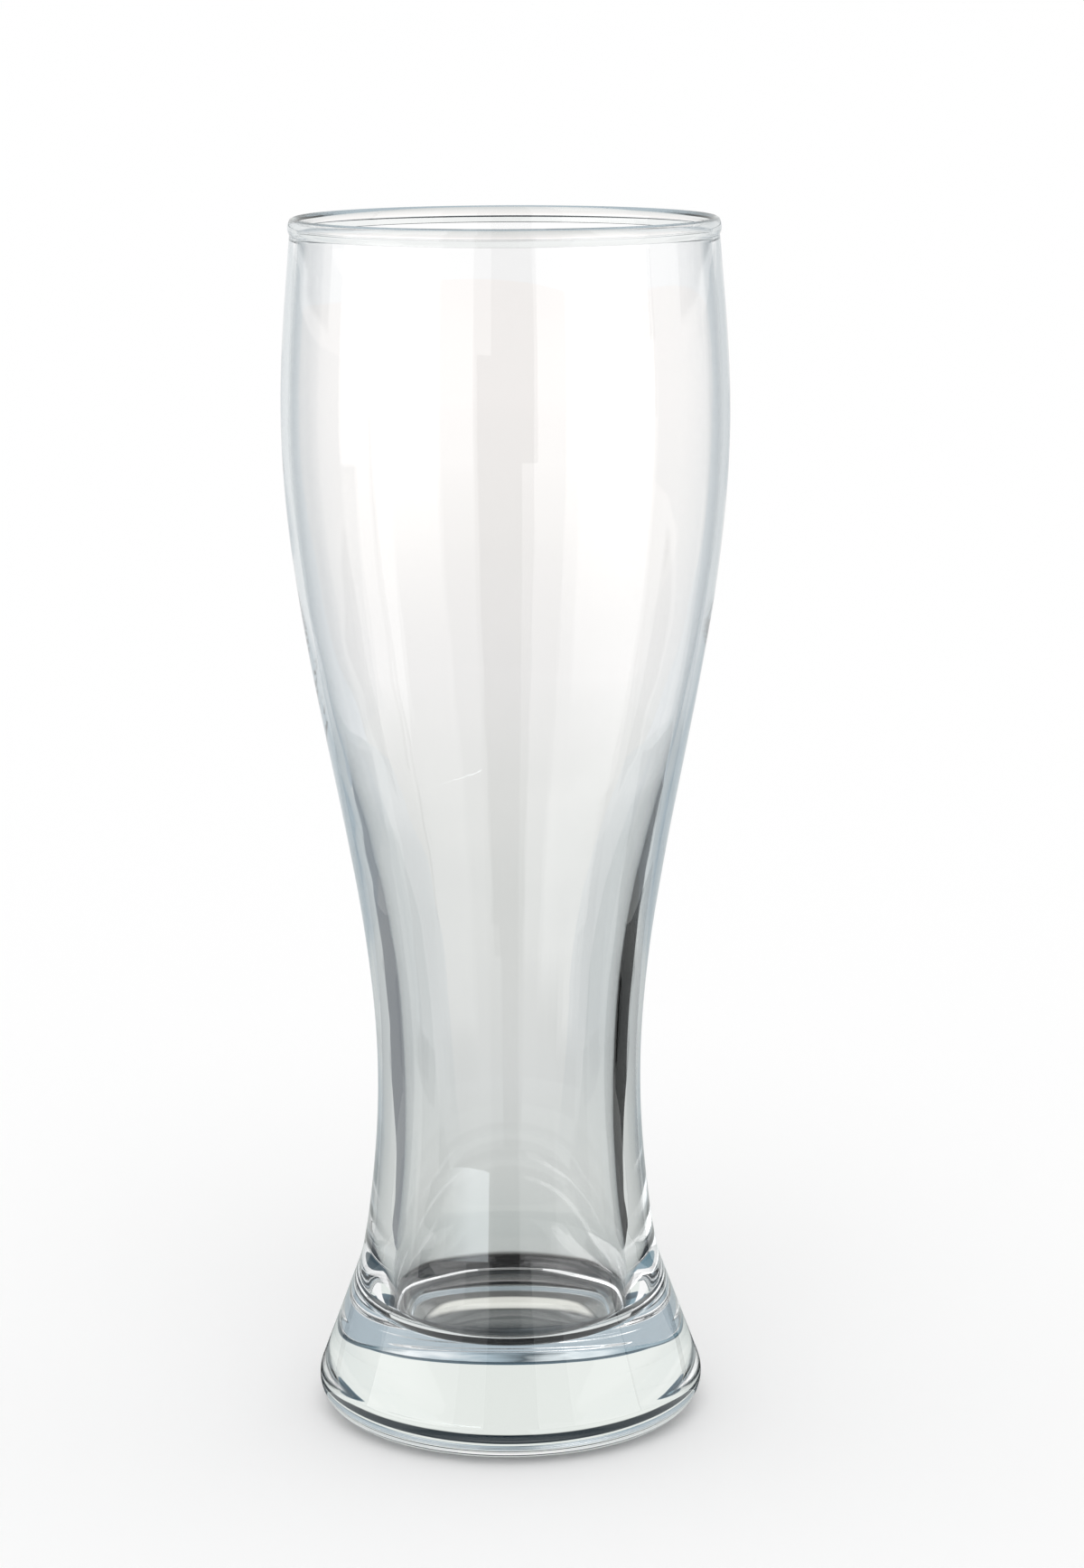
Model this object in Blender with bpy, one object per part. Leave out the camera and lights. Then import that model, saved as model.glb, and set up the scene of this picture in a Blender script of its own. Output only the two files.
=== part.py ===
# Pilsner glass: a blown bowl fused onto a solid pressed foot, standing upright on +Z.
import math

import bmesh
import bpy
import numpy as np

# All sizes below are in millimetres and degrees.
MM = 0.001

# Whole glass
GLASS_HEIGHT = 235.0
SEGMENTS = 64

# Foot: a rounded edge that runs into a straight conical flare
CONTACT_RADIUS = 31.8
EDGE_RADIUS = 6.3
FLARE_ANGLE = 20.3
FLARE_TOP = 29.0

# Underside of the foot: a flat ring to stand on around a shallow recess with a flat middle
STANDING_RING = 3.4
RECESS_DEPTH = 0.5
RECESS_SLOPE_WIDTH = 5.4

# Outside of the bowl, from the ankle above the foot to the rim
ANKLE_RISE = 7.0
ANKLE_INSET = 1.6
WAIST_HEIGHT = 68.0
WAIST_RADIUS = 25.9
SWELL_HEIGHT = 134.0
SWELL_RADIUS = 34.9
BELLY_BELOW_TOP = 38.0
BELLY_RADIUS = 42.9
RIM_RADIUS = 40.75

# Glass thickness, thin at the rim and heavy at the waist
WALL_AT_RIM = 1.5
WALL_AT_BELLY = 1.4
WALL_AT_SWELL = 2.4
THROAT_RISE = 24.0
WALL_AT_THROAT = 5.0
WALL_AT_WAIST = 5.2
WALL_AT_ANKLE = 6.1

# Fire-polished lip, a bead that stands a little proud of the wall outside and runs smoothly in
LIP_PROUD = 0.3
LIP_HALF_HEIGHT = 1.9

# Well at the bottom of the bowl
FLOOR_HEIGHT = 18.0
FLOOR_DISH = 0.4
WELL_FLARE_ANGLE = 7.4
WELL_FILLET = 4.5

# Fused joint between bowl and foot
BOWL_BOTTOM = 2.4
FUSE_GAP = 0.3

# Steps along each curve
OUTSIDE_STEPS = 30
INSIDE_STEPS = 26
LIP_STEPS = 5
EDGE_STEPS = 8
RECESS_STEPS = 7
FILLET_STEPS = 6
FLOOR_STEPS = 3


# Curves
def smooth_curve(heights, radii, start_slope):
    """Cubic curve through the stations with a set slope at the bottom and a free top end."""
    count = len(heights)
    steps = np.diff(heights)
    rises = np.diff(radii) / steps
    system = np.zeros((count, count))
    right = np.zeros(count)
    system[0, 0] = 1.0
    right[0] = start_slope
    for i in range(1, count - 1):
        system[i, i - 1] = steps[i]
        system[i, i] = 2.0 * (steps[i - 1] + steps[i])
        system[i, i + 1] = steps[i - 1]
        right[i] = 3.0 * (steps[i] * rises[i - 1] + steps[i - 1] * rises[i])
    system[-1, -2] = 1.0
    system[-1, -1] = 2.0
    right[-1] = 3.0 * rises[-1]
    slopes = np.linalg.solve(system, right)

    def radius(height):
        i = int(np.clip(np.searchsorted(heights, height) - 1, 0, count - 2))
        t = (height - heights[i]) / steps[i]
        ease = t * t * (3.0 - 2.0 * t)
        lift = t * (1.0 - t) ** 2 * slopes[i] - t * t * (1.0 - t) * slopes[i + 1]
        return radii[i] + (radii[i + 1] - radii[i]) * ease + steps[i] * lift

    return radius


def arc(center, half_width, half_height, start, end, steps):
    """Points on an elliptic arc, angles in radians from the outward radius."""
    angles = np.linspace(start, end, steps)
    return [(center[0] + half_width * math.cos(a), center[1] + half_height * math.sin(a)) for a in angles]


# Foot edge and flare
flare = math.radians(FLARE_ANGLE)
edge_center = (CONTACT_RADIUS, EDGE_RADIUS)
flare_start_radius = CONTACT_RADIUS + EDGE_RADIUS * math.cos(flare)
flare_start_height = EDGE_RADIUS + EDGE_RADIUS * math.sin(flare)


def flare_radius(height):
    return flare_start_radius - (height - flare_start_height) * math.tan(flare)


# Lip bead, centred on the wall it closes
lip_half_width = (WALL_AT_RIM + LIP_PROUD) / 2.0
lip_center = (RIM_RADIUS + LIP_PROUD - lip_half_width, GLASS_HEIGHT - LIP_HALF_HEIGHT)
lip_outside_angle = -math.acos(1.0 - LIP_PROUD / lip_half_width)
lip_inside_angle = math.pi
outside_top = lip_center[1] + LIP_HALF_HEIGHT * math.sin(lip_outside_angle)
inside_top = lip_center[1]

# Outside of the bowl
ankle_height = FLARE_TOP + ANKLE_RISE
ankle_radius = flare_radius(FLARE_TOP) - ANKLE_INSET
belly_height = GLASS_HEIGHT - BELLY_BELOW_TOP
outside = smooth_curve(
    [FLARE_TOP, ankle_height, WAIST_HEIGHT, SWELL_HEIGHT, belly_height, outside_top],
    [flare_radius(FLARE_TOP), ankle_radius, WAIST_RADIUS, SWELL_RADIUS, BELLY_RADIUS, RIM_RADIUS],
    -math.tan(flare),
)

# Inside of the bowl, each station one wall thickness in from the outside
throat_height = WAIST_HEIGHT + THROAT_RISE
well_flare = math.radians(WELL_FLARE_ANGLE)
inside = smooth_curve(
    [ankle_height, WAIST_HEIGHT, throat_height, SWELL_HEIGHT, belly_height, inside_top],
    [
        ankle_radius - WALL_AT_ANKLE,
        WAIST_RADIUS - WALL_AT_WAIST,
        outside(throat_height) - WALL_AT_THROAT,
        SWELL_RADIUS - WALL_AT_SWELL,
        BELLY_RADIUS - WALL_AT_BELLY,
        RIM_RADIUS - WALL_AT_RIM,
    ],
    -math.tan(well_flare),
)

# Well: the fillet touches the flared well wall and the level edge of the floor
fillet_center_height = FLOOR_HEIGHT + WELL_FILLET
fillet_top = fillet_center_height + WELL_FILLET * math.sin(well_flare)
well_top_radius = ankle_radius - WALL_AT_ANKLE + (ankle_height - fillet_top) * math.tan(well_flare)
fillet_center = (well_top_radius - WELL_FILLET * math.cos(well_flare), fillet_center_height)
floor_radius = fillet_center[0]

# Joint plane under the well, and the foot's top one gap below it
bowl_bottom_height = FLOOR_HEIGHT - FLOOR_DISH - BOWL_BOTTOM
foot_top_height = bowl_bottom_height - FUSE_GAP

# Outlines, each from the axis on top, over the outside, back to the axis below
floor_line = [
    (r, FLOOR_HEIGHT - FLOOR_DISH * (1.0 - (r / floor_radius) ** 2))
    for r in np.linspace(0.0, floor_radius, FLOOR_STEPS, endpoint=False)
]
fillet_line = arc(fillet_center, WELL_FILLET, WELL_FILLET, -math.pi / 2.0, well_flare, FILLET_STEPS)
inside_line = [(inside(z), z) for z in np.linspace(ankle_height, inside_top, INSIDE_STEPS)[:-1]]
lip_crest = math.pi / 2.0
lip_line = arc(lip_center, lip_half_width, LIP_HALF_HEIGHT, lip_inside_angle, lip_crest, LIP_STEPS)
lip_line += arc(lip_center, lip_half_width, LIP_HALF_HEIGHT, lip_crest, lip_outside_angle, LIP_STEPS)[1:]
outside_line = [(outside(z), z) for z in np.linspace(outside_top, FLARE_TOP, OUTSIDE_STEPS)[1:]]
bowl_bottom_line = [(flare_radius(bowl_bottom_height), bowl_bottom_height), (0.0, bowl_bottom_height)]
bowl_outline = floor_line + fillet_line + inside_line + lip_line + outside_line + bowl_bottom_line

foot_top_line = [(0.0, foot_top_height), (flare_radius(foot_top_height), foot_top_height)]
edge_line = arc(edge_center, EDGE_RADIUS, EDGE_RADIUS, flare, -math.pi / 2.0, EDGE_STEPS)
recess_radius = CONTACT_RADIUS - STANDING_RING
recess_flat_radius = recess_radius - RECESS_SLOPE_WIDTH
underside_line = [
    (r, RECESS_DEPTH * (0.5 + 0.5 * math.cos(math.pi * (r - recess_flat_radius) / RECESS_SLOPE_WIDTH)))
    for r in np.linspace(recess_radius, recess_flat_radius, RECESS_STEPS)
]
foot_outline = foot_top_line + edge_line + underside_line + [(0.0, RECESS_DEPTH)]


# Solids
def glass_material(name, color, roughness):
    material = bpy.data.materials.new(name)
    material.use_nodes = True
    shader = material.node_tree.nodes["Principled BSDF"]
    shader.inputs["Base Color"].default_value = (*color, 1.0)
    shader.inputs["Roughness"].default_value = roughness
    shader.inputs["Metallic"].default_value = 0.0
    shader.inputs["Transmission Weight"].default_value = 1.0
    shader.inputs["IOR"].default_value = 1.52
    return material


def turn(name, outline, material):
    """Turn an outline, which starts and ends on the axis, into one closed solid."""
    mesh = bpy.data.meshes.new(name)
    work = bmesh.new()
    rings = []
    for radius, height in outline:
        if radius < 1e-9:
            rings.append([work.verts.new((0.0, 0.0, height * MM))])
            continue
        ring = []
        for k in range(SEGMENTS):
            turn_angle = 2.0 * math.pi * k / SEGMENTS
            x = radius * math.cos(turn_angle)
            y = radius * math.sin(turn_angle)
            ring.append(work.verts.new((x * MM, y * MM, height * MM)))
        rings.append(ring)
    for upper, lower in zip(rings[:-1], rings[1:]):
        for k in range(SEGMENTS):
            after = (k + 1) % SEGMENTS
            if len(upper) == 1:
                work.faces.new((upper[0], lower[k], lower[after]))
            elif len(lower) == 1:
                work.faces.new((upper[k], lower[0], upper[after]))
            else:
                work.faces.new((upper[k], lower[k], lower[after], upper[after]))
    bmesh.ops.recalc_face_normals(work, faces=work.faces[:])
    for face in work.faces:
        face.smooth = True
    for edge in work.edges:
        edge.smooth = edge.calc_face_angle(0.0) < math.radians(40.0)
    work.to_mesh(mesh)
    work.free()
    part = bpy.data.objects.new(name, mesh)
    mesh.materials.append(material)
    bpy.context.scene.collection.objects.link(part)
    return part


for old in list(bpy.data.objects):
    bpy.data.objects.remove(old, do_unlink=True)

turn("bowl", bowl_outline, glass_material("blown clear glass", (0.93, 0.95, 0.95), 0.02))
turn("foot", foot_outline, glass_material("pressed clear glass", (0.89, 0.93, 0.91), 0.03))
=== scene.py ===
# %% [markdown]
# # A pilsner glass in a plain studio
# The glass is one clear body: a blown bowl that was fused, while hot, onto a solid pressed foot.
# Clear glass has hardly any colour of its own. What the eye reads as glass is the room, bent by the
# thick waist and foot and mirrored in the skin, so this lesson spends as much care on the exact
# outline of the walls and on the cards around the glass as on its two materials.

# %% Load the frame
import math

import bmesh
import bpy
import numpy as np
from mathutils import Matrix, Vector


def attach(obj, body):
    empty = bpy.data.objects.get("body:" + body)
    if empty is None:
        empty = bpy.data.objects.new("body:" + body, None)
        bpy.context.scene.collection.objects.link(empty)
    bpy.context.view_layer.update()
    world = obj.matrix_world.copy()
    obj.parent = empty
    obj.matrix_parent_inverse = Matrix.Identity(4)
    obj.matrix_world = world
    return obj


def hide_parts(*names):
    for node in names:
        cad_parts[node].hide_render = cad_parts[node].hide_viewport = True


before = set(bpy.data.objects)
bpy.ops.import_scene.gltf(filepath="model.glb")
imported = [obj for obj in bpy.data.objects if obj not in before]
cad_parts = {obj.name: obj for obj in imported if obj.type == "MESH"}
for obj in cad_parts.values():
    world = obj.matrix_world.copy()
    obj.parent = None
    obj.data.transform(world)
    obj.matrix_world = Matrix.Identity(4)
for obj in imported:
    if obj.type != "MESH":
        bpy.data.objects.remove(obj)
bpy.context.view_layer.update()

MM = 0.001
print("CAD nodes:", sorted(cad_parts))

# %% [markdown]
# ## The outline, taken from the solids
# A glass is a turned shape, so one outline through the wall says everything about it. It could be
# drawn here a second time, but two drawings drift apart. Instead the outline is read off the CAD
# solids: the chain of edges that lies on the half plane at y = 0 is the outline itself.

# %% Read one outline from each solid
# Lengths in mm, apart from the last, which is in metres like the mesh itself.
ON_AXIS = 1e-3
SHALLOW = 2.0
ON_PLANE = 1e-7


def turned_outline(node):
    """The (radius, height) points in mm along a turned solid's edge at y = 0, and the heights on its axis."""
    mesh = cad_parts[node].data
    place = {}
    spot = {}
    for vertex in mesh.vertices:
        x, y, z = vertex.co
        if abs(y) < ON_PLANE and x > -ON_PLANE:
            spot[vertex.index] = (round(x, 6), round(z, 6))
            place[spot[vertex.index]] = (x / MM, z / MM)
    beside = {}
    for edge in mesh.edges:
        first, second = (spot.get(index) for index in edge.vertices)
        if first and second and first != second:
            beside.setdefault(first, set()).add(second)
            beside.setdefault(second, set()).add(first)
    chain = [max((point for point in beside if len(beside[point]) == 1), key=lambda point: point[1])]
    while True:
        onward = [point for point in beside[chain[-1]] if point not in chain]
        if not onward:
            break
        chain.append(onward[0])
    line = [place[point] for point in chain if place[point][0] > ON_AXIS]
    middles = [height for radius, height in place.values() if radius < ON_AXIS]
    return line, middles


def middle(middles, edge_height):
    """The middle of a shallow hollow on the axis; a flat one has no point of its own there."""
    found = [height for height in middles if abs(height - edge_height) < SHALLOW]
    return (0.0, found[0] if found else edge_height)


# The flat faces at the joint are left off: the bowl starts at the middle of its well, and the foot
# ends at the middle of the recess under it.
bowl_wall, bowl_middles = turned_outline("bowl")
foot_wall, foot_middles = turned_outline("foot")
bowl_points = np.array([middle(bowl_middles, bowl_wall[0][1]), *bowl_wall])
foot_points = np.array([*foot_wall, middle(foot_middles, foot_wall[-1][1])])
for piece, points in (("bowl", bowl_points), ("foot", foot_points)):
    print(piece, "outline:", len(points), "points from", points[0].round(2), "to", points[-1].round(2))

# %% [markdown]
# ## From points to a smooth wall
# Refraction shows every facet, so the outline needs many more points than a solid for fitting does.
# Each stretch between two points becomes a cubic curve. The direction at a point is that of the circle
# through it and its neighbours, except beside a long straight stretch, such as the flare of the foot,
# where the straight line gives the direction. That also turns the sharp crease under the lip into the
# soft pinch that a gas flame leaves on a real rim.

# %% Smooth an outline
STEP_LENGTH = 0.9
STEP_TURN = math.radians(2.5)
LONG_STRETCH = 1.5


def ease(value):
    """A soft start and a soft stop between 0 and 1."""
    value = min(1.0, max(0.0, value))
    return value * value * (3.0 - 2.0 * value)


def directions(points):
    """A unit direction of travel at every point of an outline."""
    chords = np.diff(points, axis=0)
    lengths = np.linalg.norm(chords, axis=1)
    units = chords / lengths[:, None]
    found = [units[0]]
    for before, after in zip(range(len(units) - 1), range(1, len(units))):
        if lengths[before] > LONG_STRETCH * lengths[after]:
            found.append(units[before])
        elif lengths[after] > LONG_STRETCH * lengths[before]:
            found.append(units[after])
        else:
            mixed = units[before] * lengths[after] + units[after] * lengths[before]
            found.append(mixed / np.linalg.norm(mixed))
    found.append(units[-1])
    for end in (0, -1):
        if points[end][0] < ON_AXIS:
            found[end] = np.array([math.copysign(1.0, units[end][0]), 0.0])
    return np.array(found)


def smooth_outline(points):
    """The same outline with cubic curves between its points."""
    heading = directions(points)
    line = [points[0]]
    for start, end, leave, arrive in zip(points[:-1], points[1:], heading[:-1], heading[1:]):
        length = np.linalg.norm(end - start)
        bend = math.acos(min(1.0, max(-1.0, float(leave @ arrive))))
        steps = max(1, math.ceil(length / STEP_LENGTH), math.ceil(bend / STEP_TURN))
        for t in np.linspace(0.0, 1.0, steps + 1)[1:]:
            pull = leave * t * (1.0 - t) ** 2 - arrive * t * t * (1.0 - t)
            line.append(start + (end - start) * ease(t) + pull * length)
    return np.array(line)


# %% [markdown]
# ## The fused joint
# The solids keep a small gap where the bowl sits on the foot, as two parts of an assembly do. Glass that
# was fused while hot has none. The gap could be bridged by a third piece, but light would cross two more
# surfaces there, so both outlines simply run on along the flare until they meet in one plane.

# %% Close both outlines at the joint
# A hundredth of a millimetre keeps the two faces from flickering.
FACE_APART = 0.01

joint_height = (bowl_points[-1][1] + foot_points[0][1]) / 2.0


def flare_radius(height):
    """The outside of the flare, on the straight line across the gap."""
    above, below = bowl_points[-1], foot_points[0]
    return below[0] + (above[0] - below[0]) * (height - below[1]) / (above[1] - below[1])


bowl_face = joint_height + FACE_APART / 2.0
foot_face = joint_height - FACE_APART / 2.0
bowl_points[-1] = (flare_radius(bowl_face), bowl_face)
foot_points[0] = (flare_radius(foot_face), foot_face)
bowl_line = smooth_outline(bowl_points)
foot_line = smooth_outline(foot_points)
foot_line[:, 1] = np.maximum(foot_line[:, 1], 0.0)

# The curve over the lip swings a hair above its points; a tiny squeeze brings it back to the true height.
glass_top = float(bowl_points[:, 1].max())
squeeze = (glass_top - bowl_face) / (bowl_line[:, 1].max() - bowl_face)
bowl_line[:, 1] = bowl_face + (bowl_line[:, 1] - bowl_face) * squeeze
print("joint at", round(joint_height, 3), "mm")
print("smooth outlines of", len(bowl_line), "and", len(foot_line), "points")

# %% [markdown]
# ## Turning the outlines into glass
# A lathe makes each outline into a closed shell. Hand-fed glass is never perfectly even: the bowl was
# blown against a turning mould, which leaves slow waves in the wall. They are a few hundredths of a
# millimetre deep, too small for the outline but enough to make reflected strips of light run a little
# unsteadily, so they are moved into the mesh itself.

# %% Turn an outline
SEGMENTS = 240
WAVE_DEPTH = 0.03
WAVES_FROM, WAVES_FULL = 60.0, 100.0
RIM_CLEAR = 12.0

# Each wave: how many go round the glass, the mm of height that shift it by a radian, and its shift in
# radians for each mm of radius.
WAVES = ((3.0, 17.0, 1.0), (5.0, -26.0, 2.0))


def steady(radius, height, angle):
    """Pressed glass follows its mould."""
    return 0.0


def blown(radius, height, angle):
    """Slow waves in mm, only ever inwards, that fade out above the heavy waist and below the rim."""
    share = ease((height - WAVES_FROM) / (WAVES_FULL - WAVES_FROM)) * ease((glass_top - height) / RIM_CLEAR)
    swing = sum(math.sin(count * angle + height / rise + shift * radius) for count, rise, shift in WAVES)
    return -WAVE_DEPTH * share * (0.5 + 0.5 * swing / len(WAVES))


def turn(name, line, closing_point, uneven=steady):
    """A closed shell around +Z. The last face, out to the closing point on the axis, is the joint."""
    work = bmesh.new()
    rings = []
    angles = [2.0 * math.pi * step / SEGMENTS for step in range(SEGMENTS)]
    for radius, height in [*line, closing_point]:
        if radius < ON_AXIS:
            rings.append([work.verts.new((0.0, 0.0, height * MM))])
            continue
        ring = []
        for angle in angles:
            reach = (radius + uneven(radius, height, angle)) * MM
            ring.append(work.verts.new((reach * math.cos(angle), reach * math.sin(angle), height * MM)))
        rings.append(ring)
    for index, (upper, lower) in enumerate(zip(rings[:-1], rings[1:])):
        joint = index == len(rings) - 2
        for step in range(SEGMENTS):
            after = (step + 1) % SEGMENTS
            if len(upper) == 1:
                corners = (upper[0], lower[step], lower[after])
            elif len(lower) == 1:
                corners = (upper[step], lower[0], upper[after])
            else:
                corners = (upper[step], lower[step], lower[after], upper[after])
            face = work.faces.new(corners)
            face.smooth = not joint
            face.material_index = 1 if joint else 0
    bmesh.ops.recalc_face_normals(work, faces=work.faces[:])
    mesh = bpy.data.meshes.new(name)
    work.to_mesh(mesh)
    work.free()
    joint_faces = [face for face in mesh.polygons if face.material_index == 1]
    joint_edges = {key for face in joint_faces for key in face.edge_keys}
    for edge in mesh.edges:
        if tuple(sorted(edge.vertices)) in joint_edges:
            edge.use_edge_sharp = True
    piece = bpy.data.objects.new(name, mesh)
    bpy.context.scene.collection.objects.link(piece)
    print(name, "has", len(mesh.polygons), "faces")
    return piece


bowl_glass = turn("bowl_glass", bowl_line, (0.0, bowl_face), blown)
foot_glass = turn("foot_glass", foot_line[::-1], (0.0, foot_face))

# %% [markdown]
# ## Soda-lime glass
# Tableware glass is soda-lime, with a refractive index of about 1.52. It is so clear that its colour, a
# cool grey, shows only towards the edges, where the eye looks along the wall through many times its
# thickness. That could be absorption in the volume, but bowl and foot are two closed shells here, and it
# would have to be counted across their joint. So the colour sits on the surface and grows with the slant
# of the view, which Layer Weight gives.

# %% Colours and nodes
def linear(hex_colour):
    """An sRGB hex colour as linear RGBA."""
    channels = [int(hex_colour[index:index + 2], 16) / 255.0 for index in (1, 3, 5)]
    return (*[c / 12.92 if c <= 0.04045 else ((c + 0.055) / 1.055) ** 2.4 for c in channels], 1.0)


def add_node(tree, kind, values=None, links=None, **settings):
    """One node with its settings, socket values and incoming links."""
    made = tree.nodes.new("ShaderNode" + kind)
    for setting, value in settings.items():
        setattr(made, setting, value)
    for socket, value in (values or {}).items():
        made.inputs[socket].default_value = value
    for socket, source in (links or {}).items():
        tree.links.new(source, made.inputs[socket])
    return made


def new_material(name):
    """A material with an empty node tree."""
    material = bpy.data.materials.new(name)
    material.use_nodes = True
    material.node_tree.nodes.clear()
    return material


# %% Clear glass
# A fire-polished skin has no grain, so its roughness is zero. What it keeps are shallow waves, a
# hundredth or two of a millimetre deep, which make reflected edges run a little unsteadily.
GLASS_IOR = 1.52
EDGE_GROWTH = 3.0


def soda_lime(name, wave_mm, wave_depth_mm, edge_from, edge_hex):
    """Clear glass whose colour starts at a slant of edge_from, where 0 faces the eye and 1 is the edge."""
    material = new_material(name)
    tree = material.node_tree
    place = add_node(tree, "TexCoord").outputs["Object"]
    waves = add_node(
        tree, "TexNoise", {"Scale": 1.0 / (wave_mm * MM), "Detail": 1.0, "Roughness": 0.4}, {"Vector": place}
    )
    skin = add_node(
        tree, "Bump", {"Strength": 1.0, "Distance": wave_depth_mm * MM}, {"Height": waves.outputs["Fac"]}
    )
    slant = add_node(tree, "LayerWeight", {"Blend": 0.5}).outputs["Facing"]
    share = add_node(tree, "MapRange", {"From Min": edge_from, "From Max": 1.0}, {"Value": slant})
    grown = add_node(tree, "Math", {1: EDGE_GROWTH}, {0: share.outputs[0]}, operation="POWER")
    tint = add_node(
        tree, "MixRGB", {"Color1": linear("#FFFFFF"), "Color2": linear(edge_hex)}, {"Fac": grown.outputs[0]}
    )
    glass = add_node(
        tree,
        "BsdfPrincipled",
        {"Roughness": 0.0, "IOR": GLASS_IOR, "Transmission Weight": 1.0},
        {"Base Color": tint.outputs[0], "Normal": skin.outputs["Normal"]},
    )
    add_node(tree, "OutputMaterial", links={"Surface": glass.outputs[0]})
    return material


def fused_joint(name):
    """Inside fused glass there is no surface, so nothing bends or mirrors light there."""
    material = new_material(name)
    tree = material.node_tree
    clear = add_node(tree, "BsdfTransparent", {"Color": linear("#FFFFFF")})
    add_node(tree, "OutputMaterial", links={"Surface": clear.outputs[0]})
    return material


# The blown skin waves more than the pressed one, and its thin wall greys early towards the edge. The solid
# foot has no wall to look along, so only its outermost edge takes the colour, a little greener.
blown_glass = soda_lime("soda-lime glass, blown and fire-polished", 14.0, 0.02, 0.12, "#8E9CA3")
pressed_glass = soda_lime("soda-lime glass, pressed and fire-polished", 9.0, 0.01, 0.45, "#93A5A3")
joint_glass = fused_joint("soda-lime glass, fused joint inside the foot")

for piece, material, node, slot in (
    (bowl_glass, blown_glass, "bowl", "blown_glass"),
    (foot_glass, pressed_glass, "foot", "pressed_glass"),
):
    piece.data.materials.append(material)
    piece.data.materials.append(joint_glass)
    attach(piece, "root")
    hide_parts(node)
    print(piece.name, "replaces", node, "and is made of", material.name)

# %% [markdown]
# ## The studio
# A white paper floor and a white room behind, a dark room in front, and tall soft lights left and right of
# the camera: that is how a glass is lit so that its edges stay grey and two strips of light stand on the
# bowl. The floor is matte paper, which takes its brightness and the shadow of the glass from the lamp and
# the room.

# %% Floor
FLOOR_HALF = 120.0
FLOOR_HEIGHT = -0.0002


def matte(name, hex_colour):
    """Paper that takes its brightness from the lamp and the room."""
    material = new_material(name)
    tree = material.node_tree
    colour = linear(hex_colour)
    dull = {"Base Color": colour, "Roughness": 1.0, "Specular IOR Level": 0.0}
    paper = add_node(tree, "BsdfPrincipled", dull)
    add_node(tree, "OutputMaterial", links={"Surface": paper.outputs[0]})
    return material


def card(name, corners, material, faces=None, seen_directly=False):
    """A flat stage piece, which shows only in the glass and lights nothing unless it is seen directly."""
    mesh = bpy.data.meshes.new(name)
    faces = faces or [(index, index + 1, index + 3, index + 2) for index in range(0, len(corners) - 2, 2)]
    mesh.from_pydata(corners, [], faces)
    mesh.materials.append(material)
    made = bpy.data.objects.new(name, mesh)
    bpy.context.scene.collection.objects.link(made)
    if not seen_directly:
        made.visible_camera = False
        made.visible_diffuse = False
        made.visible_shadow = False
    return made


floor_ends = (-FLOOR_HALF, FLOOR_HALF)
floor_corners = [(x, y, FLOOR_HEIGHT) for y in floor_ends for x in floor_ends]
card("floor", floor_corners, matte("white paper, matte", "#F9F9F9"), seen_directly=True)
print("floor at", FLOOR_HEIGHT / MM, "mm")

# %% [markdown]
# ## Cards that the glass shows
# Everything else stands around the glass only to be seen in it, as a photographer sets up paper and cloth.
# The cards glow in their own colour, whatever the lamp does, and they light and shade nothing. Lamps could
# do the same, but a card shows its exact shape and colour in the glass without lighting the floor.

# %% Light that has run far
# After many turns inside the foot, light from all sides has mixed. One plain colour stands in for it, which
# also keeps grain out of the foot.
LONG_RUN = "#AEBCC4"
RUN_FROM, RUN_TO = 8.0, 14.0


def long_run(tree):
    """How much of a ray has become mixed light, by the number of times that it has turned."""
    depth = add_node(tree, "LightPath").outputs["Ray Depth"]
    share = add_node(tree, "MapRange", {"From Min": RUN_FROM, "From Max": RUN_TO}, {"Value": depth})
    return share.outputs[0]


# %% Cards that glow
# Some cards show only as reflections, in any of the surfaces or in the outer skin alone, so that they
# don't stand as panels behind the glass when it is seen from the other sides.
# Half a turn tells rays that have turned at least once from rays that haven't.
HALF_TURN = 0.5
HIDDEN_WHEN = {"mirrors": ("Glossy Depth", "LESS_THAN"), "skin": ("Transmission Depth", "GREATER_THAN")}


def glow_material(material, strength, colour=None, hex_colour="#FFFFFF", seen_by="all"):
    """Finish a card with light of its own colour, whatever the lamp does."""
    tree = material.node_tree
    near = add_node(tree, "Emission", {"Color": linear(hex_colour), "Strength": strength})
    if colour:
        tree.links.new(colour, near.inputs["Color"])
    far = add_node(tree, "Emission", {"Color": linear(LONG_RUN), "Strength": 1.0})
    glow = add_node(tree, "MixShader", links={0: long_run(tree), 1: near.outputs[0], 2: far.outputs[0]})
    if seen_by != "all":
        counted, compare = HIDDEN_WHEN[seen_by]
        turns = add_node(tree, "LightPath").outputs[counted]
        hidden = add_node(tree, "Math", {1: HALF_TURN}, {0: turns}, operation=compare)
        gone = add_node(tree, "BsdfTransparent").outputs[0]
        glow = add_node(tree, "MixShader", links={0: hidden.outputs[0], 1: glow.outputs[0], 2: gone})
    add_node(tree, "OutputMaterial", links={"Surface": glow.outputs[0]})
    material.cycles.emission_sampling = "NONE"
    return material


def shown_card(name, hex_colour, seen_by="all"):
    """A card of one colour."""
    return glow_material(new_material(name), 1.0, hex_colour=hex_colour, seen_by=seen_by)


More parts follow.
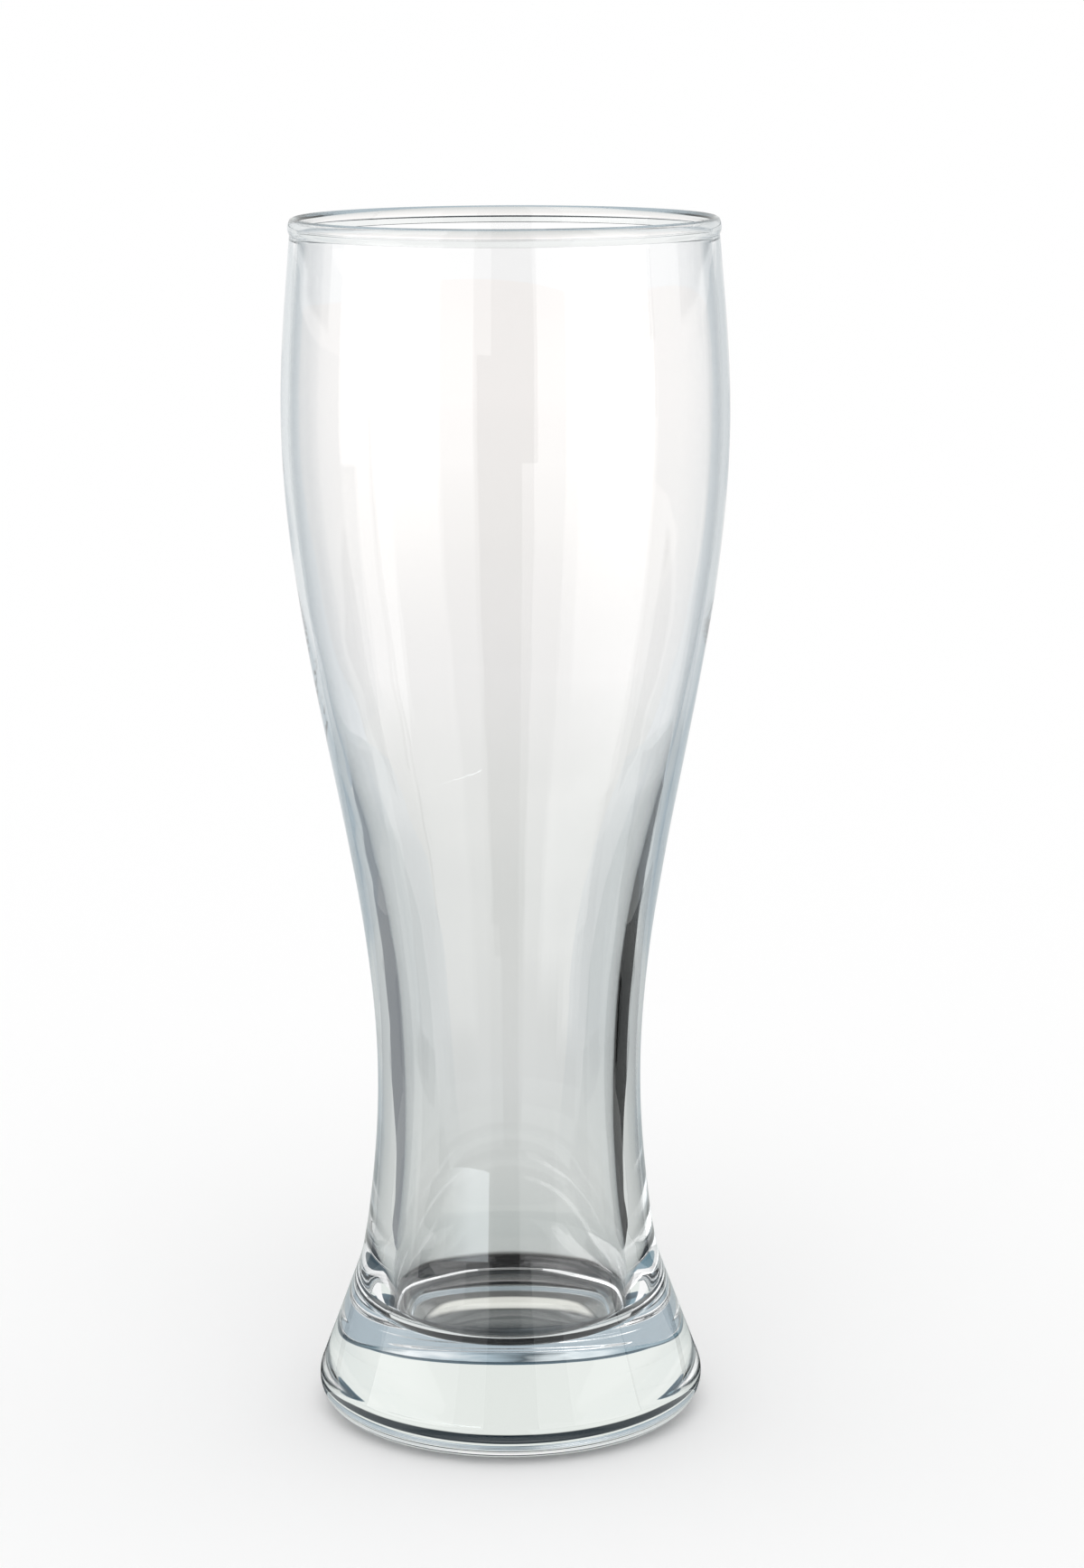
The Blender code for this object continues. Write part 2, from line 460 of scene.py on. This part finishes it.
def graded_card(name, axis, stops, strength=1.0, sway=None, seen_by="all"):
    """A card whose colour changes along X, Y, Z or the distance R, with stops of (metres, hex colour)."""
    material = new_material(name)
    tree = material.node_tree
    low, high = stops[0][0], stops[-1][0]
    place = add_node(tree, "TexCoord").outputs["Object"]
    if axis == "R":
        along = add_node(tree, "VectorMath", links={0: place}, operation="LENGTH").outputs["Value"]
    else:
        along = add_node(tree, "SeparateXYZ", links={"Vector": place}).outputs[axis]
    if sway:
        wave_mm, depth_mm = sway
        waves = add_node(tree, "TexNoise", {"Scale": 1.0 / (wave_mm * MM), "Detail": 2.0}, {"Vector": place})
        drift = add_node(
            tree,
            "MapRange",
            {"To Min": -depth_mm * MM, "To Max": depth_mm * MM},
            {"Value": waves.outputs["Fac"]},
        )
        along = add_node(tree, "Math", links={0: along, 1: drift.outputs[0]}, operation="ADD").outputs[0]
    share = add_node(tree, "MapRange", {"From Min": low, "From Max": high}, {"Value": along})
    ramp = add_node(tree, "ValToRGB", links={"Fac": share.outputs[0]})
    bands = ramp.color_ramp.elements
    while len(bands) < len(stops):
        bands.new(0.5)
    for band, (where, hex_colour) in zip(bands, stops):
        band.position = (where - low) / (high - low)
        band.color = linear(hex_colour)
    return glow_material(material, strength, ramp.outputs["Color"], seen_by=seen_by)


# %% Ways to set up a card
# Azimuths count from straight behind the glass, as the camera sees it, towards its right.
CARD_LIFT = 0.001
CARD_STEP = 8.0


def sides(start, end):
    """Azimuths between two in degrees, close enough together for a round card."""
    count = max(2, 1 + int(abs(end - start) / CARD_STEP))
    return [math.radians(azimuth) for azimuth in np.linspace(start, end, count)]


def standing(name, distance, start, end, low, high, material):
    """An upright card between two azimuths."""
    corners = []
    for azimuth in sides(start, end):
        x, y = distance * math.sin(azimuth), distance * math.cos(azimuth)
        corners += [(x, y, low), (x, y, high)]
    return card(name, corners, material)


def lying(name, near, far, start, end, material, height=CARD_LIFT):
    """A card on the table between two distances and two azimuths."""
    corners = []
    for azimuth in sides(start, end):
        across, along = math.sin(azimuth), math.cos(azimuth)
        corners += [(near * across, near * along, height), (far * across, far * along, height)]
    return card(name, corners, material)


def mat(name, left, right, near, far, material):
    """A rectangle on the table."""
    corners = [(x, y, CARD_LIFT) for y in (near, far) for x in (left, right)]
    return card(name, corners, material)


# %% [markdown]
# ## The front of the room
# The front wall of the bowl mirrors the room behind the camera, and the back wall mirrors it too, side for
# side. Around the camera the room is dark, which leaves the grey strip up the middle of the bowl. Left and
# right of it stand the soft lights, and the table in front of the glass carries painted shade, dim close by,
# so the strips fade out towards the foot. Each sector is a table card, graded by distance, and a wall card,
# graded by height.

# %% Front of the room
FRONT_DISTANCE = 1.2
FRONT_LEVEL = 4.0

LEFT_WALL = [
    (0.0, "#B6B6B6"),
    (0.30, "#B6B6B6"),
    (0.44, "#7F7F7F"),
    (0.70, "#7F7F7F"),
    (1.00, "#D2D2D2"),
    (2.60, "#D2D2D2"),
]
LEFT_OUTER_TABLE = [
    (0.12, "#383838"),
    (0.21, "#383838"),
    (0.25, "#747474"),
    (0.32, "#9C9C9C"),
    (0.65, "#A5A5A5"),
    (1.20, "#B6B6B6"),
]
LEFT_INNER_TABLE = [
    (0.12, "#464646"),
    (0.30, "#464646"),
    (0.50, "#7A7A7A"),
    (0.65, "#969696"),
    (1.20, "#B6B6B6"),
]
LEFT_WEAK_TABLE = [(0.12, "#4F4F4F"), (0.50, "#606060"), (1.20, "#8E8E8E")]
LEFT_WEAK_WALL = [
    (0.0, "#8E8E8E"),
    (0.30, "#8E8E8E"),
    (0.44, "#686868"),
    (0.70, "#686868"),
    (1.00, "#939393"),
    (2.60, "#939393"),
]
MIDDLE_TABLE = [(0.05, "#31302F"), (1.20, "#31302F")]
MIDDLE_WALL = [(0.0, "#31302F"), (0.40, "#31302F"), (0.80, "#141414"), (5.00, "#141414")]
RIGHT_WEAK_TABLE = [(0.12, "#5F5F5F"), (0.50, "#717171"), (1.20, "#8A8A8A")]
RIGHT_WEAK_WALL = [
    (0.0, "#8A8A8A"),
    (0.30, "#8A8A8A"),
    (0.44, "#757575"),
    (0.70, "#757575"),
    (1.10, "#2E2E2E"),
    (5.00, "#141414"),
]
RIGHT_TABLE = [(0.12, "#525252"), (0.20, "#525252"), (0.24, "#686868"), (0.32, "#8C8C8C"), (1.20, "#9E9E9E")]
RIGHT_WALL = [
    (0.0, "#9E9E9E"),
    (0.30, "#9E9E9E"),
    (0.44, "#9C9C9C"),
    (0.70, "#9C9C9C"),
    (1.10, "#555555"),
    (5.00, "#2E2E2E"),
]

# Wall and table each run between their own two azimuths.
FRONT = {
    "left_outer": ((240, 272), (240, 272), LEFT_OUTER_TABLE, LEFT_WALL),
    "left_inner": ((214, 240), (214, 240), LEFT_INNER_TABLE, LEFT_WALL),
    "left_weak": ((196, 214), (196, 214), LEFT_WEAK_TABLE, LEFT_WEAK_WALL),
    "middle": ((164, 196), (172, 196), MIDDLE_TABLE, MIDDLE_WALL),
    "right_weak": ((143, 164), (143, 172), RIGHT_WEAK_TABLE, RIGHT_WEAK_WALL),
    "right": ((100, 143), (100, 143), RIGHT_TABLE, RIGHT_WALL),
}
# Each table card carries painted shade: dim close to the glass and, in most sectors, lighter farther off.
for place, (wall_sides, table_sides, table_stops, wall_stops) in FRONT.items():
    table_card = graded_card("table in front, painted shade, " + place, "R", table_stops, FRONT_LEVEL, seen_by="mirrors")
    wall_card = graded_card("room in front, " + place, "Z", wall_stops, FRONT_LEVEL, seen_by="mirrors")
    near = table_stops[0][0]
    top = wall_stops[-1][0]
    lying("table_front_" + place, near, FRONT_DISTANCE, *table_sides, table_card)
    standing("room_front_" + place, FRONT_DISTANCE, *wall_sides, 0.0, top, wall_card)
print("front of the room:", len(FRONT), "sectors")

# %% [markdown]
# ## A low light for the waist
# Just above the foot the wall leans outwards, so its skin mirrors what stands low in front of the glass. A
# narrow lamp there gives the bright patch at the bottom left of the bowl. The card leans back towards the
# glass, and only the outer skin shows it.

# %% Low strip of light in front of the ankle
STRIP_DISTANCE = 0.20
STRIP_HEIGHT = 8.5 * MM
STRIP_SLOPE = 0.61
STRIP_LOW = (25.4 * MM, 21.6 * MM)
STRIP_SIDES = (196, 250)
STRIP_LEVEL = 4.8

strip = []
strip_azimuths = sides(*STRIP_SIDES)
lean = STRIP_HEIGHT / STRIP_SLOPE / 2.0
for azimuth, low in zip(strip_azimuths, np.linspace(*STRIP_LOW, len(strip_azimuths))):
    across, along = math.sin(azimuth), math.cos(azimuth)
    for distance, height in ((STRIP_DISTANCE + lean, low), (STRIP_DISTANCE - lean, low + STRIP_HEIGHT)):
        strip.append((distance * across, distance * along, height))
strip_light = graded_card(
    "soft light, low on the left",
    "X",
    [(-0.19, "#4A4A4A"), (-0.165, "#5A5C5D"), (-0.125, "#C3CACD"), (-0.10, "#EAF2F6"), (-0.05, "#EAF2F6")],
    STRIP_LEVEL,
    seen_by="skin",
)
card("low_strip", strip, strip_light)
print("low strip:", len(strip), "corners,", round(STRIP_HEIGHT / MM, 1), "mm high")

# %% [markdown]
# ## The sides of the room
# The edges of the bowl bend the view far to the sides, and the thick waist bends it furthest. Cloths of
# different grey stand there and run on over the table. One cloth all round would be simpler, but the edges
# of the glass differ from left to right.

# %% Sides of the room
SIDE_DISTANCE = 2.5

LOW_WALL, HIGH_WALL = 0.17, 0.35
SIDES = {
    "right_near": (11, 18, 0.45, "#EEF0F1", "all"),
    "right_half": (18, 38, 0.45, "#E0E4E6", "all"),
    "right_grey": (38, 54, 0.27, "#B6BFC5", "mirrors"),
    "right_white": (54, 98, 0.27, "#F6F8F9", "mirrors"),
    "left_near": (-18, -11, 0.45, "#F4F6F7", "all"),
    "left_half": (-38, -18, 0.45, "#F0F3F4", "all"),
    "left_grey": (-98, -38, 0.27, "#B6BFC5", "mirrors"),
}
for place, (start, end, near, hex_colour, seen_by) in SIDES.items():
    cloth = shown_card("cloth at the side, " + place, hex_colour, seen_by)
    standing("side_wall_" + place, SIDE_DISTANCE, start, end, 0.0, LOW_WALL, cloth)
    lying("side_table_" + place, near, SIDE_DISTANCE, start, end, cloth)
    if seen_by == "mirrors":
        high_cloth = shown_card("cloth high at the side, " + place, hex_colour, "skin")
        standing("side_wall_high_" + place, SIDE_DISTANCE, start, end, LOW_WALL, HIGH_WALL, high_cloth)
print("sides of the room:", len(SIDES), "cloths")

# %% [markdown]
# ## Paper beside the throat
# The narrow part of the bowl bends the view to the table left and right behind the glass. A paper that dims
# towards its sides gives the throat soft grey edges. One even card would end in a hard line, so there are
# two on either side, each graded by distance.

# %% Beside the throat
FALL_NEAR, FALL_FAR = 0.14, 0.45
FALL_OFF = {
    "right_first": (9, 14, "#D5D9D9", "#E4E7E7"),
    "right_second": (14, 38, "#C9CECE", "#E0E4E5"),
    "left_first": (-14, -9, "#D7DBDB", "#E4E7E7"),
    "left_second": (-38, -14, "#CED3D3", "#E1E5E6"),
}
# Close to the glass each paper starts at the painted shade of the table cards.
for place, (start, end, dim, edge) in FALL_OFF.items():
    stops = [(FALL_NEAR, "#D2D6D4"), (0.25, dim), (0.31, dim), (0.38, edge), (FALL_FAR, edge)]
    paper = graded_card("paper beside the throat, " + place, "R", stops)
    lying("throat_table_" + place, FALL_NEAR, FALL_FAR, start, end, paper)
print("table beside the throat:", len(FALL_OFF), "papers")

# %% [markdown]
# ## The dark room and two mats
# Behind the camera the room is dark. A black mat lies on the table at the right and a grey one at the left.
# The wall of the waist mirrors them inside: they become the dark line inside its right edge and the softer
# one on the left. Flat on the table they stay low, where the waist looks.

# %% Dark room and mats
STUDIO_SIDES = (98, 265)
STUDIO_HEIGHT = 5.0

# The left, right, near and far edges of each mat in metres.
BLACK_MAT = (0.135, 0.24, 0.05, 0.215)
GREY_MAT = (-0.24, -0.135, 0.05, 0.20)

studio_cloth = shown_card("dark studio wall", "#3A3836", "mirrors")
standing("studio_wall", SIDE_DISTANCE, *STUDIO_SIDES, 0.0, STUDIO_HEIGHT, studio_cloth)
mat("black_mat_right", *BLACK_MAT, shown_card("black cloth", "#141414", "mirrors"))
mat("grey_mat_left", *GREY_MAT, shown_card("grey card", "#84888C", "mirrors"))
print("studio wall", STUDIO_HEIGHT, "m high, and two mats")

# %% [markdown]
# ## Behind the glass
# Through the heavy foot the eye looks up at the backdrop and past its top edge. The light block in the foot
# is the backdrop, the thin dark line under it is a dark gap low in the backdrop, and the blue and white
# streaks above it are an evening sky with clouds. The lip gets a white card of its own close behind it.

# %% Backdrop
BACKDROP_DISTANCE = 3.0
BACKDROP_SIDES = (-75, 75)
SKY_FROM = 1.17
SKY_CLEAR = 1.34
SKY_TOP = 6.0
PAPER_LEVEL = 1.03

# The card behind the lip starts at the height of the rim, so that rays end on it which the lip bends upwards.
LIP_CARD_DISTANCE = 0.085
LIP_CARD_LOW, LIP_CARD_TOP = 0.2345, 0.40

backdrop = graded_card(
    "white backdrop with a dark gap",
    "Z",
    [
        (0.0, "#FFFFFF"),
        (0.20, "#FFFFFF"),
        (0.225, "#12222B"),
        (0.56, "#12222B"),
        (0.62, "#E6EBE7"),
        (SKY_FROM, "#E6EBE7"),
    ],
    PAPER_LEVEL,
)
haze = graded_card("haze above the backdrop", "Z", [(SKY_FROM, "#5C727F"), (SKY_CLEAR, "#3E4E58")])
sky = graded_card(
    "evening sky with clouds",
    "X",
    [
        (-2.30, "#7A98A6"),
        (-1.50, "#A0B4BE"),
        (-0.80, "#E6F0F4"),
        (-0.10, "#606C73"),
        (0.60, "#A8BAC4"),
        (1.25, "#F0F6F8"),
        (1.80, "#66808C"),
        (2.30, "#2A424E"),
    ],
    sway=(700.0, 900.0),
)
standing("backdrop", BACKDROP_DISTANCE, *BACKDROP_SIDES, 0.0, SKY_FROM, backdrop)
standing("haze", BACKDROP_DISTANCE, *BACKDROP_SIDES, SKY_FROM, SKY_CLEAR, haze)
standing("sky", BACKDROP_DISTANCE, *BACKDROP_SIDES, SKY_CLEAR, SKY_TOP, sky)
lip_card = shown_card("white card", "#F4F6F5")
standing("backdrop_near", LIP_CARD_DISTANCE, *BACKDROP_SIDES, LIP_CARD_LOW, LIP_CARD_TOP, lip_card)
print("backdrop up to", SKY_FROM, "m, sky up to", SKY_TOP, "m")

# %% [markdown]
# ## The table, as the glass shows it
# Through the bowl the eye sees the table behind the foot. It grows lighter with distance, and close behind
# the foot it lies in the shadow of the glass, which gives the waist its grey and the well its dark edge. The
# paper floor alone would be too even for that, so this shadow and the lightening with distance are painted
# on graded cards that lie on it.

# %% Table around the foot
# The cards lie between the paper and the foot, each a trace above the one before.
ROUND = 64
FAR_RADIUS, FAR_HEIGHT = 3.6, -0.00018
TABLE_INNER, TABLE_OUTER, TABLE_HEIGHT = 0.0001, 0.70, -0.00015
UNDER_RADIUS, UNDER_HEIGHT = 0.033, -0.0001
CRESCENT_HEIGHT = -0.00006


def disc(name, radius, height, material):
    """A round card on the table."""
    angles = [2.0 * math.pi * step / ROUND for step in range(ROUND)]
    corners = [(radius * math.cos(angle), radius * math.sin(angle), height) for angle in angles]
    return card(name, corners, material, faces=[tuple(range(ROUND))])


# The painted shadow of the glass on the table: darker close to the foot, lighter with distance.
TABLE_SHADE_STOPS = [
    (0.068, "#B4B9B8"),
    (0.080, "#C3C9C7"),
    (0.14, "#D2D6D4"),
    (0.22, "#DBDEDD"),
    (0.34, "#E0E2E0"),
    (0.42, "#E8E9E7"),
    (TABLE_OUTER, "#F3F2F1"),
]
behind_foot = graded_card(
    "white table, in the shadow of the foot", "R", [(0.0, "#1A1B1C"), (0.058, "#1A1B1C"), *TABLE_SHADE_STOPS]
)
before_foot = graded_card(
    "white table, painted shade in front of the foot", "R", [(0.0, "#DADEDD"), (0.034, "#DADEDD"), *TABLE_SHADE_STOPS[3:]]
)
# Farther off, the painted shade fades slowly out to white.
far_table = graded_card(
    "white table, farther off",
    "R",
    [(0.0, "#EFEEED"), (TABLE_OUTER, "#EFEEED"), (1.2, "#F6F4F2"), (2.0, "#FDFAF8"), (FAR_RADIUS, "#FFFCFA")],
    PAPER_LEVEL,
)
disc("table_far", FAR_RADIUS, FAR_HEIGHT, far_table)
lying("table_behind", TABLE_INNER, TABLE_OUTER, -90, 90, behind_foot, TABLE_HEIGHT)
lying("table_before", TABLE_INNER, TABLE_OUTER, 90, 270, before_foot, TABLE_HEIGHT)
print("table cards out to", TABLE_OUTER, "and", FAR_RADIUS, "m")

# %% [markdown]
# ## The table under the foot
# Hardly any light gets under the foot, so the table is nearly black there, with a stripe of light just behind
# the middle that fades towards the camera. The lamp's own shadow could serve, but its grading can't be set,
# so this shade and the stripe of light are painted on a card.

# %% Table under the foot
# Painted shade under the foot, with a painted stripe of light just behind the middle.
under = graded_card(
    "table under the foot",
    "Y",
    [
        (-UNDER_RADIUS, "#141516"),
        (-0.020, "#141516"),
        (-0.008, "#2A2B2B"),
        (0.000, "#3A3B3B"),
        (0.003, "#6E706E"),
        (0.009, "#6E706E"),
        (0.012, "#242526"),
        (UNDER_RADIUS, "#141516"),
    ],
)
disc("table_under_foot", UNDER_RADIUS, UNDER_HEIGHT, under)
print("table under the foot:", UNDER_RADIUS / MM, "mm in radius")

# %% [markdown]
# ## Light gathered under the foot
# A glass is a lens, and it bundles the light of the room into a bright crescent on the table below it. The
# renderer could search for that light, but slowly and with grain, so the crescent is drawn on a card.

# %% Light gathered by the glass
CRESCENT_HALF_WIDTH = 20.0
CRESCENT_INNER = 8.6
CRESCENT_OUTER = 20.5
INNER_FADE, OUTER_FADE = (0.96, 1.22), (0.9, 1.0)


def gathered_light(name):
    """A bright crescent with soft edges, where the glass bundles the light of the room on the table."""
    material = new_material(name)
    tree = material.node_tree
    place = add_node(tree, "TexCoord").outputs["Object"]
    shares = []
    for half_width, half_depth, (low, high), before, beyond in (
        (CRESCENT_HALF_WIDTH, CRESCENT_INNER, INNER_FADE, 0.0, 1.0),
        (CRESCENT_OUTER, CRESCENT_OUTER, OUTER_FADE, 1.0, 0.0),
    ):
        scale = (1.0 / (half_width * MM), 1.0 / (half_depth * MM), 0.0)
        scaled = add_node(tree, "VectorMath", {1: scale}, {0: place}, operation="MULTIPLY")
        reach = add_node(tree, "VectorMath", links={0: scaled.outputs[0]}, operation="LENGTH")
        fade = add_node(
            tree,
            "MapRange",
            {"From Min": low, "From Max": high, "To Min": before, "To Max": beyond},
            {"Value": reach.outputs["Value"]},
            interpolation_type="SMOOTHSTEP",
        )
        shares.append(fade.outputs[0])
    share = add_node(tree, "Math", links={0: shares[0], 1: shares[1]}, operation="MULTIPLY")
    colour = add_node(
        tree, "MixRGB", {"Color1": linear("#242526"), "Color2": linear("#ECECE4")}, {"Fac": share.outputs[0]}
    )
    return glow_material(material, 1.0, colour.outputs[0])


crescent = []
for azimuth in sides(-90, 90):
    across, along = math.sin(azimuth), math.cos(azimuth)
    crescent += [
        (CRESCENT_HALF_WIDTH * across * MM, CRESCENT_INNER * along * MM, CRESCENT_HEIGHT),
        (CRESCENT_OUTER * across * MM, CRESCENT_OUTER * along * MM, CRESCENT_HEIGHT),
    ]
card("gathered_light", crescent, gathered_light("light gathered under the foot"))
print("crescent:", CRESCENT_INNER, "to", CRESCENT_OUTER, "mm behind the axis")

# %% [markdown]
# ## Lamp and world
# One wide soft lamp from the front and a white room all round light the paper at a plain level. Seen
# directly or in the glass, the room is exactly white. Overhead it is dark for rays that have passed through
# the bowl, because the ceiling above a studio table is.

# %% Lamp
# The lamp lights the floor and throws the soft shadow there. The glass shows the cards instead of it.
SUN_STRENGTH = 0.55
SUN_SOFTNESS = 40.0
SUN_HEIGHT = 62.0

lamp = bpy.data.lights.new("front_lamp", "SUN")
lamp.energy = SUN_STRENGTH
lamp.angle = math.radians(SUN_SOFTNESS)
front_lamp = bpy.data.objects.new("front_lamp", lamp)
bpy.context.scene.collection.objects.link(front_lamp)
front_lamp.rotation_euler = (math.radians(90.0 - SUN_HEIGHT), 0.0, 0.0)
front_lamp.visible_glossy = False
front_lamp.visible_transmission = False
print("front lamp:", SUN_STRENGTH, "from", SUN_HEIGHT, "degrees above the table")

# %% World
# The ceiling starts at a height above the horizon, given as a sine. A ray through the bowl crosses four
# surfaces, so more than three and a half tells it from others.
ROOM_LIGHT = 0.90
CEILING_LEVEL = 0.05
CEILING_FROM = 0.82
THROUGH_BOWL = 3.5

world = bpy.data.worlds.new("white_room")
bpy.context.scene.world = world
world.use_nodes = True
tree = world.node_tree
tree.nodes.clear()
path = add_node(tree, "LightPath").outputs
glossy, transmitted = path["Is Glossy Ray"], path["Is Transmission Ray"]
sharp = add_node(tree, "Math", links={0: glossy, 1: transmitted}, operation="MAXIMUM")
seen = add_node(tree, "Math", links={0: path["Is Camera Ray"], 1: sharp.outputs[0]}, operation="MAXIMUM")
direct = add_node(tree, "Math", {1: HALF_TURN}, {0: path["Diffuse Depth"]}, operation="LESS_THAN")
shown = add_node(tree, "Math", links={0: seen.outputs[0], 1: direct.outputs[0]}, operation="MULTIPLY")
level = add_node(tree, "MapRange", {"To Min": ROOM_LIGHT, "To Max": 1.0}, {"Value": shown.outputs[0]})

# Through the bottom of the well the eye looks up at the ceiling, which is dark above the table.
way = add_node(tree, "TexCoord").outputs["Generated"]
heading = add_node(tree, "SeparateXYZ", links={"Vector": way})
overhead = add_node(tree, "Math", {1: CEILING_FROM}, {0: heading.outputs["Z"]}, operation="GREATER_THAN")
crossed = path["Transmission Depth"]
deep = add_node(tree, "Math", {1: THROUGH_BOWL}, {0: crossed}, operation="GREATER_THAN")
dark = add_node(tree, "Math", links={0: overhead.outputs[0], 1: deep.outputs[0]}, operation="MULTIPLY")
kept = add_node(tree, "MapRange", {"To Min": 1.0, "To Max": CEILING_LEVEL}, {"Value": dark.outputs[0]})
strength = add_node(tree, "Math", links={0: level.outputs[0], 1: kept.outputs[0]}, operation="MULTIPLY")
room = add_node(tree, "Background", {"Color": linear("#FFFFFF")}, {"Strength": strength.outputs[0]})
mixed = add_node(tree, "Background", {"Color": linear(LONG_RUN), "Strength": 1.0})
both = add_node(tree, "MixShader", links={0: long_run(tree), 1: room.outputs[0], 2: mixed.outputs[0]})
add_node(tree, "OutputWorld", links={"Surface": both.outputs[0]})
print("room light:", ROOM_LIGHT, "on the paper, 1.0 where it is seen")

# %% [markdown]
# ## The camera
# The glass was seen from a little above its rim, three quarters of a metre away. The camera's place and
# lens come from fitting the turned outline to the photograph's ellipses and edges. They could be judged by
# eye, but the ellipses of rim and foot fix them closely.

# %% Camera
IMAGE_HEIGHT = 1735.0
FOCAL_PIXELS = 4290.7
SENSOR = 36.0
CLIP = (0.01, 1000.0)
CAMERA_PLACE = (0.0, -0.73899, 0.27600)
YAW, PITCH, ROLL = (math.radians(value) for value in (0.519, 11.503, -0.207))

camera_data = bpy.data.cameras.new("camera")
camera_data.sensor_width = SENSOR
camera_data.lens = FOCAL_PIXELS * SENSOR / IMAGE_HEIGHT
camera_data.clip_start, camera_data.clip_end = CLIP
camera = bpy.data.objects.new("camera", camera_data)
bpy.context.scene.collection.objects.link(camera)
ahead = Vector((math.sin(YAW) * math.cos(PITCH), math.cos(YAW) * math.cos(PITCH), -math.sin(PITCH)))
level_right = Vector((math.cos(YAW), -math.sin(YAW), 0.0))
level_up = level_right.cross(ahead)
right = level_right * math.cos(ROLL) + level_up * math.sin(ROLL)
up = level_up * math.cos(ROLL) - level_right * math.sin(ROLL)
facing = Matrix((right, up, -ahead)).transposed().to_4x4()
camera.matrix_world = Matrix.Translation(CAMERA_PLACE) @ facing
bpy.context.scene.camera = camera
bpy.context.scene.view_settings.view_transform = "Standard"
print("camera at", CAMERA_PLACE, "m with a lens of", round(camera_data.lens, 1), "mm")

# %% [markdown]
# ## Light paths
# Light runs through the heavy foot as through a light pipe and turns many times before it leaves, so a
# ray may turn far more often here than in other scenes. A ray that is cut off early ends in black.

# %% Light paths
PIPE_BOUNCES = 128

paths = bpy.context.scene.cycles
paths.max_bounces = PIPE_BOUNCES
paths.glossy_bounces = PIPE_BOUNCES
paths.transmission_bounces = PIPE_BOUNCES
print("a ray may turn", PIPE_BOUNCES, "times")
